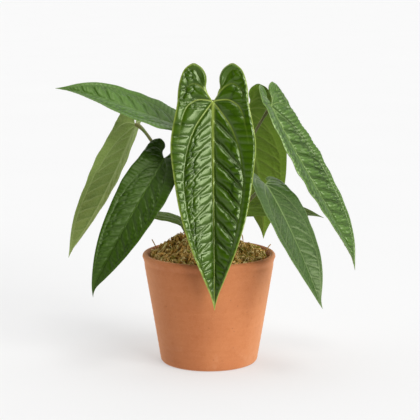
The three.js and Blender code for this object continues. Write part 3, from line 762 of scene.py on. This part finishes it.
    def small_cells(self, across, along, round_margin, warp, inner, ridges, seed):
        """Rows of ridges across the blade, broken into cells towards the border and turned to the margin on
        the lobes: their height, how broken they are, and what is blade and not lobe."""
        body = gate(along, 0.12, 0.06)
        band = np.where(inner, 0.0, body)
        pitch = np.interp(along, [0.3, ROWS.midway_at], [ROWS.base, ROWS.midway])
        counted = np.minimum(along, ROWS.midway_at) / (0.5 * pitch + 0.095)
        counted += np.maximum(along - ROWS.midway_at, 0) / ROWS.plain
        ridge = body * counted - body * ROWS.lean * across * (1 - band) / ROWS.plain
        ridge += (1 - body) * round_margin / ROWS.plain
        waviness = 1.6 * warp + 0.16 * smooth_noise(5 * across, 2.3 * along, seed + 9)
        row = ridge * ridges + waviness
        to_crease = np.abs(row - np.floor(row) - 0.5)
        roll = 1 - bell(0.5 - to_crease, WIDE.row_side)
        first, second = cells(ridge + waviness, across / (ROWS.cell * ridges) + 2 * warp, seed)
        cell = 1 - bell(second - first, WIDE.cell_side)
        broken = np.clip((across - 0.4 * (1 - ridges) - 0.12) / (0.3 * ridges), 0, 1) * (1 - band)
        return roll * (1 - broken) + cell * broken, broken, body

    def relief(self, side, x, y):
        """Rise of the upper face, how light, edge-like and veined it is, how much painted shade its hollows
        take, and mm to the edge.
        """
        leaf = self.leaf
        w = self.half_width
        half = 0 if side > 0 else 1
        cushion, pillow_height, ridges, lateral_depth, hump, rim = (
            np.broadcast_to(getattr(leaf, key), 2)[half]
            for key in ("cushions", "pillows", "ridges", "lateral", "hump", "rim")
        )
        seed = sum(map(ord, leaf.name)) + (7 if side > 0 else 0)
        across, along = x / w, y / w
        share = np.clip(y / self.length, 0, 1)
        to_margin, round_margin = distance_to_line(x, y, self.margin_line[::4])
        to_sinus, _ = distance_to_line(x, y, self.sinus_line[::4])
        near_edge = np.minimum(to_margin, to_sinus) / w
        warp = 0.05 * smooth_noise(3.1 * across, 3.1 * along, seed)
        warp += 0.02 * smooth_noise(9 * across, 9 * along, seed + 3)
        on_body = gate(along, -0.02, 0.015)

        # Veins, and the swellings between the lateral ones
        groove, light, to_vein, to_border, inner = self.curved_veins(x, y, share)
        to_lateral, swelling = self.lateral_veins(across, along, warp)
        off_rib = 1 - bell(across, WIDE.rib_fade)
        fade_in = np.clip(0.4 + across / 0.2, 0, 1)
        lateral = np.where(inner, bell(to_lateral, WIDE.lateral_groove) * fade_in, 0) * off_rib
        groove = np.maximum(groove, lateral_depth * lateral)
        pillow = swelling * (0.55 + 0.8 * np.clip(across / 0.6, 0, 1))
        pillow *= 1 - bell(to_border, WIDE.border_slope, 1.5)
        pillow *= 1 + 0.45 * smooth_noise(2.2 * across, 4 * along, seed + 21)
        pillow = np.where(inner, pillow, 0) * off_rib
        rib = bell(across, WIDE.rib * (1 - 0.7 * np.minimum(1, 1.6 * share))) * on_body
        rib_side = bell(across, WIDE.rib_side) * on_body
        valley = (1 - bell(across, WIDE.valley, 1.3)) * on_body
        outside = np.where(inner, 0, 1 - bell(to_vein, WIDE.beside_vein))
        bowl = bell(to_sinus / w, WIDE.bowl) * (1 - on_body)

        # Small cells, clear of the veins and strongest beside the border
        small, broken, body = self.small_cells(across, along, round_margin / w, warp, inner, ridges, seed)
        strength = 0.45 + 0.55 * bell(to_border, WIDE.border_cells) + 0.6 * broken
        strength = np.where(inner, strength, 0.8 + 0.15 * (1 - body))
        clear = (1 - bell(to_vein, WIDE.vein_clear)) * (1 - bell(across, WIDE.rib_clear))
        clear *= np.where(inner, 1 - bell(to_lateral, WIDE.lateral_clear), 1)
        clear *= 1 - 0.85 * bell(to_sinus / w, WIDE.sinus_strip) * (along < 0.02)
        cushions = HIGH.cushion * cushion * (small - 0.4) * clear * strength

        rise = HIGH.pillow * pillow_height * pillow + hump * outside + HIGH.bowl * bowl + cushions
        rise = rise - HIGH.groove * groove - HIGH.rib_side * rib_side + HIGH.rib * rib
        fringe = np.clip(0.22 + near_edge / WIDE.fringe, 0, 1)
        narrow = np.clip(self.margin_x(y) / (WIDE.narrow * w), 0, 1)
        rise = rise * leaf.quilt * fringe * narrow + leaf.valley * valley * narrow
        swing = np.sin(2 * np.pi * (1.25 * along + 0.37 * half))
        rise = rise + leaf.wave * swing * across ** 3 * 0.6

        # Painted shade: how dark the colour gets in the vein grooves, the creases between cells and the low
        # parts between swellings
        hollow = 0.85 * groove + 0.6 * (1 - small) * clear * strength + 0.3 * rib_side
        hollow += np.where(inner, 0.35 * (1 - swelling), 0.1)
        light = np.maximum(light, 0.1 * bell(to_lateral, WIDE.lateral_line) * inner)
        light = np.maximum(light, rib * (0.9 - 0.3 * share))
        lines = np.maximum(bell(to_vein, WIDE.finest_line), bell(to_lateral, WIDE.finest_lateral) * inner)
        edge = bell(near_edge * w, rim) * (1 - 0.45 * (1 - small) * (rim > 1))
        looks = dict(light=np.clip(light, 0, 1), hollow=np.clip(hollow, 0, 1), edge=edge, lines=lines)
        return rise, looks, near_edge * w

    def build(self, material):
        """Both halves, each an upper and a lower skin, with a hem at the margin and a seam at the sinus."""
        leaf = self.leaf
        rows, columns = leaf.rows, leaf.columns
        x, y, on_sinus = self.grid(rows, columns)
        vertices, faces = [], []
        values = {key: [] for key in ("under", "light", "hollow", "edge", "lines")}
        size = (rows + 1) * (columns + 1)
        index = np.arange(size).reshape(rows + 1, columns + 1)
        for number, side in enumerate((1, -1)):
            rise, looks, inset = self.relief(side, x, y)
            middle, normal = self.place(side, x, y, rise)
            taper = np.clip(inset / 1.5, 0, 1)
            thick = BLADE_THICKNESS * (0.5 + 0.5 * taper)
            rib_depth = 1.5 * (1 - 0.85 * np.clip(y / self.length, 0, 1)) * bell(x, 1.3) * taper
            for sign, under in ((1, 0.0), (-1, 1.0)):
                offset = thick / 2 + (rib_depth if under else 0)
                vertices.append((middle + sign * normal * offset[..., None]).reshape(-1, 3))
                values["under"].append(np.full(size, under))
                for key, look in looks.items():
                    values[key].append(look.ravel())
            top = index + 2 * number * size
            bottom = top + size
            upper = [top[:-1, :-1], top[:-1, 1:], top[1:, 1:], top[1:, :-1]]
            lower = [bottom[:-1, :-1], bottom[1:, :-1], bottom[1:, 1:], bottom[:-1, 1:]]
            hem = [top[:-1, -1], top[1:, -1], bottom[1:, -1], bottom[:-1, -1]]
            notch = np.nonzero(on_sinus)[0]
            seam = [top[notch, 0], top[notch + 1, 0], bottom[notch + 1, 0], bottom[notch, 0]]
            for corners in (upper, lower, hem, seam):
                faces.append(np.stack(corners, -1).reshape(-1, 4))
        values = {key: np.concatenate(parts) for key, parts in values.items()}
        vertices, faces = np.concatenate(vertices), np.concatenate(faces).tolist()
        return new_piece("blade_" + leaf.name, vertices, faces, material, merge=0.0003, **values)


def stalk_piece(leaf, material):
    """From the stem to the sinus: round, thicker at the foot and under the blade."""
    facts = leaf.stalk
    bearing = math.radians(facts.azimuth)
    in_stem = STEM.radius - 2.5
    foot = (in_stem * math.cos(bearing), in_stem * math.sin(bearing), facts.height)
    route = [foot, *facts.handles, leaf.midrib[0]]
    centres = bezier(route, np.linspace(0, 0.985, 90))
    reached = way_along(centres)
    reached /= reached[-1]
    radius = facts.radius * (
        1 + 0.45 * bell(reached, 0.1) + 0.3 * bell(reached - 0.97, 0.05) - 0.1 * reached
        + 0.02 * np.sin(41 * reached + 3 * facts.radius)
    )
    sides = 20
    vertices, faces = tube_mesh(centres, radius, sides)
    at = np.concatenate([np.repeat(reached, sides), [0, 1]])
    foot_shade = np.clip(bell(at, 0.16) + 0.5 * bell(at - 0.985, 0.03), 0, 1)
    return new_piece("stalk_" + leaf.name, vertices, faces, material, foot=foot_shade)


# Pot, moss and stem


def outer_radius(z):
    return POT.base + (POT.rim - POT.base) / POT.height * z


def inner_radius(z):
    return outer_radius(z) - POT.wall


def pot_piece():
    """A turned pot with a soft groove under its rounded rim, a little out of round."""
    rim, base, top, floor_top, drain = POT.rim, POT.base, POT.height, POT.floor, POT.drain
    corners = [
        (drain, 0), (base - 2.5, 0), (base - 0.9, 0.35), (outer_radius(0) + 0.05, 1.6),
        *((outer_radius(z), z) for z in (3.2, 30, 58, 84, top - 12.5)),
        (outer_radius(top - 11) - 0.25, top - 11), (outer_radius(top - 9.5) - 0.55, top - 9.5),
        (outer_radius(top - 8) - 0.2, top - 8), (outer_radius(top - 6.4), top - 6.4), (rim, top - 3.6),
        (rim - 0.35, top - 2), (rim - 1.2, top - 0.8), (rim - 3, top), (rim - 4.8, top - 0.7),
        (inner_radius(top) + 0.3, top - 2.2),
        *((inner_radius(z), z) for z in (top - 4, 80, 50, floor_top + 3)),
        (inner_radius(floor_top) - 0.9, floor_top + 0.9), (inner_radius(floor_top) - 3, floor_top),
        (drain, floor_top),
    ]
    profile = []
    for (r0, z0), (r1, z1) in zip(corners, corners[1:] + corners[:1]):
        steps = max(1, int(math.hypot(r1 - r0, z1 - z0) / 2.2))
        profile += [(r0 + (r1 - r0) * k / steps, z0 + (z1 - z0) * k / steps) for k in range(steps)]
    vertices, faces = lathe(profile, 200)
    angle = np.arctan2(vertices[:, 1], vertices[:, 0])
    radius = np.hypot(vertices[:, 0], vertices[:, 1])
    z = vertices[:, 2]
    wobble = 0.12 * np.sin(3 * angle + 0.04 * z) + 0.08 * np.sin(0.9 * z) * np.sin(2 * angle + 1)
    scale = 1 + np.where(z > 0.5, wobble, 0) / radius
    vertices[:, :2] *= scale[:, None]
    inside = np.clip((inner_radius(z) + 2 - radius) / 2, 0, 1) * (z > 4)
    bloom = np.clip(1.2 * bell(z - 4, 22) + bell(z - top, 12), 0, 1)
    return new_piece("clay_pot", vertices, faces, clay_material(), merge=0.01, inside=inside, bloom=bloom)


def moss_height(x, y):
    spread = np.hypot(x, y) / inner_radius(MOSS.edge_top)
    dome = MOSS.edge_top + (MOSS.crown - MOSS.edge_top) * (1 - spread ** 2)
    heap = HEAP.height * bell(np.hypot(x - HEAP.x, y - HEAP.y), HEAP.spread)
    tufts = np.sin(0.41 * x + 0.9) * np.sin(0.37 * y) + 0.6 * np.sin(0.83 * y + 0.61 * x)
    return dome + heap + tufts * np.minimum(1, 4 * (1 - spread))


def moss_ground(material):
    """The close mass of moss under the loose strands, down to the potting mix, darker than them as painted
    shade in the gaps between them.
    """
    rings, sectors = 70, 240
    bottom = MOSS.bottom
    inner = STEM.radius + 0.4
    outer = inner_radius(MOSS.edge_top) - MOSS.clearance
    angle = 2 * np.pi * np.arange(sectors) / sectors
    radius = np.linspace(inner, outer, rings)
    x, y = radius[:, None] * np.cos(angle), radius[:, None] * np.sin(angle)
    lumps = 1.3 * smooth_noise(0.22 * x, 0.22 * y, 3) + 0.7 * smooth_noise(0.6 * x, 0.6 * y, 8)
    pits = 0.5 * smooth_noise(1.5 * x, 1.5 * y, 11)
    z = moss_height(x, y) - 3.0 + lumps + pits
    skirt = np.stack([x[-1], y[-1], np.full(sectors, bottom)], -1)
    collar = np.stack([x[0], y[0], np.full(sectors, bottom)], -1)
    grid = np.concatenate([collar[None], np.stack([x, y, z], -1), skirt[None]])
    grid[-1, :, :2] *= (inner_radius(bottom) - MOSS.clearance) / outer
    faces = ring_faces(len(grid), sectors, closed=True)
    # Low shades make the ground dark: painted shade in the gaps between the strands
    shade = np.full(grid.shape[:2], 0.1)
    shade[1:-1] = np.clip(0.1 + 0.08 * lumps + 0.12 * pits, 0, 0.4)
    return new_piece("moss_ground", grid.reshape(-1, 3), faces, material, shade=shade.ravel())


STRAND_GIRTHS = np.array([0.7, 1, 1.05, 1, 0.9, 0.7, 0.3])
# How far out from the axis the strands may lie: from the stem to the pot's wall
STRANDS_REACH = inner_radius(MOSS.edge_top) - 2
STRANDS_START = STEM.radius + 2
STRANDS_CLEARANCE = STEM.radius + 1.4


def strand_points(random, reach, bearing, span, lift, bends):
    """A wandering strand that starts near the moss and ends in it."""
    heading = 2 * math.pi * random.random()
    x, y = reach * math.cos(bearing), reach * math.sin(bearing)
    steps = len(STRAND_GIRTHS)
    points = []
    turn = (random.random() - 0.5) * bends
    for k in range(steps):
        share = k / (steps - 1)
        rise = lift * math.sin(math.pi * min(1, share * 1.1)) - 0.8 + 0.9 * random.random()
        points.append([x, y, rise])
        heading += turn + (random.random() - 0.5) * bends * 0.8
        x += span / steps * math.cos(heading)
        y += span / steps * math.sin(heading)
    points = np.array(points)
    away = np.maximum(np.hypot(points[:, 0], points[:, 1]), 1e-6)
    points[:, :2] *= np.minimum(1, STRANDS_REACH / away)[:, None]
    away = np.maximum(np.hypot(points[:, 0], points[:, 1]), 1e-6)
    points[:, :2] *= np.maximum(1, STRANDS_CLEARANCE / away)[:, None]
    points[:, 2] += moss_height(points[:, 0], points[:, 1])
    return points


def moss_strands(name, material, count, seed, thick, span, lift, bends, shades):
    """Loose strands spread evenly over the moss. thick, span and lift are usual sizes, shades a range."""
    random = np.random.RandomState(seed)
    tubes = []
    for _ in range(count):
        reach = STRANDS_START + (STRANDS_REACH - STRANDS_START) * math.sqrt(random.random())
        points = strand_points(
            random, reach, 2 * math.pi * random.random(),
            span * (0.6 + 0.8 * random.random()), lift * (0.2 + random.random() ** 2), bends,
        )
        girth = thick * (0.6 + 0.8 * random.random())
        shade = shades[0] + (shades[1] - shades[0]) * random.random()
        tubes.append((points, girth * STRAND_GIRTHS, shade))
    return tubes_piece(name, material, tubes, 4)


SPRIGS = [
    [(-50, 2, 108), (-55, 0, 120), (-60, -2, 130)],
    [(54, 4, 108), (60, 3, 118), (65, 2, 124)],
    [(55, 0, 108), (58, -3, 117), (61, -6, 120)],
    [(36, 12, 114), (37, 13, 124), (35, 14, 132)],
]


def sprigs_piece(material):
    """Loose stalks that stand up from the moss, each bent over three points."""
    t = np.linspace(0, 1, 14)[:, None]
    radii = 0.75 * (1 - 0.45 * t[:, 0]) + 0.12 * np.sin(9 * t[:, 0])
    tubes = []
    for a, b, c in SPRIGS:
        points = np.array(a) * (1 - t) ** 2 + 2 * np.array(b) * t * (1 - t) + np.array(c) * t ** 2
        tubes.append((points, radii, 0.45))
    return tubes_piece("moss_sprigs", material, tubes, 8)


def stem_piece(material):
    """A short stock with leaf scars, where the stalks stand."""
    on_axis, scar_at, scar_spacing, taper = 0.01, 118, 7.5, 14
    profile = [(on_axis, STEM.foot)]
    for height in np.linspace(STEM.foot, STEM.top, 90):
        radius = STEM.radius - 0.25
        radius -= 2.2 * bell(height - STEM.foot, 1.2)
        radius -= 4 * max(0, (height - STEM.top + taper) / taper) ** 3
        radius -= 0.45 * (0.5 + 0.5 * math.cos(2 * math.pi * (height - scar_at) / scar_spacing)) ** 6
        profile.append((radius, height))
    profile.append((on_axis, STEM.top))
    vertices, faces = lathe(profile, 64)
    angle = np.arctan2(vertices[:, 1], vertices[:, 0])
    bumps = 1 - 0.03 * (0.5 + 0.5 * np.sin(5 * angle + 0.5 * vertices[:, 2]))
    vertices[:, :2] *= bumps[:, None]
    return new_piece("stem_stock", vertices, faces, material, merge=0.02)


# Each dry sheath: its bearing in degrees, its foot, its height and how far its top leans out
SHEATHS = [(20, 118, 22, 1.5), (105, 120, 26, 2), (200, 119, 20, 1.5), (285, 121, 24, 2)]
SHEATH_THICKNESS = 0.35


def sheath_piece(material):
    """Dry papery sheaths that cling to the stock between the stalks."""
    vertices, faces = [], []
    columns, rows = 10, 14
    row = columns + 1
    across = np.linspace(-1, 1, row)
    for bearing, foot, height, lean in SHEATHS:
        base = row * 2 * len(vertices)
        for up in np.linspace(0, 1, rows + 1):
            angle = np.radians(bearing + (3 + 31 * (1 - up) ** 0.7) * across)
            outer = STEM.radius + 0.15 + lean * up ** 2 + 0.25 * np.cos(6 * across)
            angle = np.concatenate([angle, angle[::-1]])
            radius = np.concatenate([outer, (outer - SHEATH_THICKNESS)[::-1]])
            z = np.full(2 * row, foot + height * up)
            vertices.append(np.stack([radius * np.cos(angle), radius * np.sin(angle), z], -1))
        faces += [tuple(base + k for k in face) for face in ring_faces(rows + 1, 2 * row, closed=False)]
        for end in (base, base + 2 * row * rows):
            for c in range(columns):
                faces.append((end + c, end + c + 1, end + 2 * row - 2 - c, end + 2 * row - 1 - c))
    return new_piece("stem_sheaths", np.concatenate(vertices), faces, material)


# Camera, light and floor

scene = bpy.context.scene

CAMERA = Named(x=1.0, distance=1500.0, height=420.0, pitch=9.8, focal_px=1452.0, frame_px=420.0)
camera_data = bpy.data.cameras.new("camera")
camera_data.sensor_width = 36.0
camera_data.lens = camera_data.sensor_width * CAMERA.focal_px / CAMERA.frame_px
camera_data.clip_end = 60.0
camera = bpy.data.objects.new("camera", camera_data)
camera.location = (CAMERA.x * MM, -CAMERA.distance * MM, CAMERA.height * MM)
camera.rotation_euler = (math.radians(90 - CAMERA.pitch), 0, 0)
scene.collection.objects.link(camera)
scene.camera = camera

scene.view_settings.view_transform = "Standard"
scene.view_settings.look = "None"

# Each white wall: its centre's direction, the cosines to that where it begins and is full, and its radiance
WALLS = [
    ((0.3, 0.5, 0.85), 0.4, 0.8, 1.1),
    ((0, 1, 0.1), 0.0, 0.5, 0.9),
    ((1, 0.1, 0.1), 0.45, 0.85, 0.7),
    ((-1, 0.5, 0.1), 0.35, 0.8, 1.1),
]
DARK_ROOM = 0.04


def studio_walls():
    """White surroundings overhead, behind and at both sides; the room on the camera's side is dark."""
    scene.world = bpy.data.worlds.new("studio")
    n = Nodes(scene.world)
    total = 0.0
    for centre, begins, full, radiance in WALLS:
        lean = n.add("ShaderNodeVectorMath", operation="DOT_PRODUCT")
        n.plug(n.coordinates["Generated"], lean.inputs[0])
        n.plug(Vector(centre).normalized(), lean.inputs[1])
        wall = n.ramp(lean.outputs["Value"], begins, full, 0.0, radiance, interpolation_type="SMOOTHSTEP")
        total = n.math("MAXIMUM", total, wall)
    n.fill(n.tree.nodes["Background"], Color=(1.0, 1.0, 1.0, 1.0), Strength=n.math("ADD", total, DARK_ROOM))


studio_walls()

# Soft boxes: the direction towards each, its width in degrees and its strength
SOFT_BOXES = {
    "key_box": Named(towards=(0.8, -0.58, 0.4), width=18, strength=1.1),
    "front_box": Named(towards=(0.55, -0.82, 0.27), width=22, strength=1.35),
    "top_box": Named(towards=(0.22, -0.45, 0.87), width=22, strength=0.8),
}
for box_name, box in SOFT_BOXES.items():
    box_data = bpy.data.lights.new(box_name, "SUN")
    box_data.energy = box.strength
    box_data.angle = math.radians(box.width)
    soft_box = bpy.data.objects.new(box_name, box_data)
    soft_box.rotation_mode = "QUATERNION"
    soft_box.rotation_quaternion = Vector(box.towards).to_track_quat("Z", "Y")
    scene.collection.objects.link(soft_box)

# The floor, in metres, lies just under the pot. The paper glows a little, so that it stays nearly white.
FLOOR_REACH = 30.0
FLOOR_DROP = 0.0002
PAPER_ALBEDO = 0.42
PAPER_GLOW = 0.427
floor_mesh = bpy.data.meshes.new("floor")
floor_corners = [
    (FLOOR_REACH * x, FLOOR_REACH * y, -FLOOR_DROP) for x, y in ((-1, -1), (1, -1), (1, 1), (-1, 1))
]
floor_mesh.from_pydata(floor_corners, [], [(0, 1, 2, 3)])
floor = bpy.data.objects.new("floor", floor_mesh)
scene.collection.objects.link(floor)
paper = material_nodes("white_paper")
paper_tone = paper.ramp(paper.noise(3, 2), 0.2, 0.8)
floor_mesh.materials.append(paper.finish(
    paper.mix(paper_tone, (PAPER_ALBEDO,) * 3, (PAPER_ALBEDO + 0.01,) * 3), 0.9,
    Specular_IOR_Level=0.0, Emission_Color=(1, 1, 1, 1), Emission_Strength=PAPER_GLOW,
))

# The plant


def settle(piece, node):
    """The piece rides on the whole and, when a solid is named, stands for that solid, which is hidden."""
    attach(piece, "root")
    if node:
        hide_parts(node)


stalk_skin = stalk_material()
leaf_looks = {}
for entry in LEAVES:
    leaf = Named(**dict(USUAL, **entry))
    tone = leaf.tone
    if tone not in leaf_looks:
        leaf_looks[tone] = leaf_material(tone)
    settle(Blade(leaf).build(leaf_looks[tone]), "leaf_" + leaf.name)
    settle(stalk_piece(leaf, stalk_skin), "stalk_" + leaf.name)

settle(pot_piece(), "pot")
settle(stem_piece(stem_material()), "stem")
settle(sheath_piece(papery_material()), None)

dry = moss_material("moss_dry", (0.035, 0.018, 0.004), (0.74, 0.43, 0.12), (1.0, 0.83, 0.42))
olive = moss_material("moss_olive", (0.06, 0.05, 0.008), (0.4, 0.33, 0.05), (0.7, 0.58, 0.16))
STRANDS = dict(
    thick=dict(count=520, seed=11, thick=1.0, span=15, lift=6.2, bends=2.4, shades=(0.2, 1.0)),
    fine=dict(count=750, seed=12, thick=0.6, span=14, lift=6.6, bends=3.0, shades=(0.35, 1.0)),
    green=dict(count=260, seed=13, thick=0.8, span=12, lift=5.5, bends=2.6, shades=(0.3, 0.9)),
)
settle(moss_ground(dry), "moss")
for kind, facts in STRANDS.items():
    settle(moss_strands("moss_strands_" + kind, olive if kind == "green" else dry, **facts), None)
settle(sprigs_piece(dry), None)

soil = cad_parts["potting_mix"]
soil.data.materials.clear()
soil.data.materials.append(soil_material())
